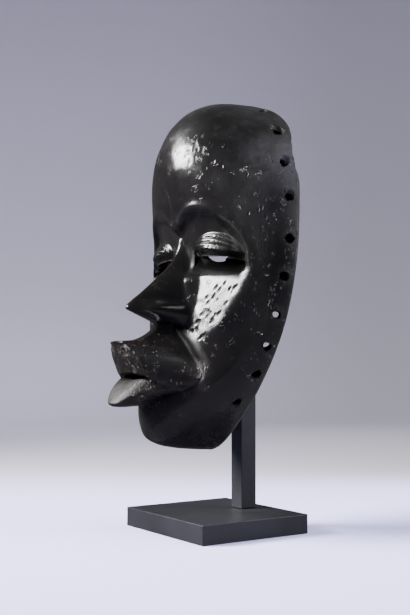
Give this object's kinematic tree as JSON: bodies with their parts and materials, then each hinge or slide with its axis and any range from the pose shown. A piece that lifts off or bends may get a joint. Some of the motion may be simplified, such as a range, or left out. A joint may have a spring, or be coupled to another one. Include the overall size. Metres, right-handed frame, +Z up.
{
  "type": "dan mask on stand",
  "caption": "Carved dark wood face mask, hollow behind, with slit eyes, ribbed lids, pointed nose and full lips, held on a post and base plate.",
  "frame": {"origin": "middle of the base plate's underside", "axes": "+Z up, the face looks along -Y, +X towards the mask's own left"},
  "size_m": [0.1566, 0.1285, 0.3068],
  "materials": {
    "wood": "dark polished patina",
    "stand_paint": "satin black",
    "felt": "black felt"
  },
  "bodies": {
    "root": {"mask": "wood", "base_plate": "stand_paint", "post": "stand_paint", "crown_arm": "stand_paint", "crown_pad": "felt", "mouth_arm": "stand_paint", "mouth_pad": "felt"}
  },
  "joints": []
}
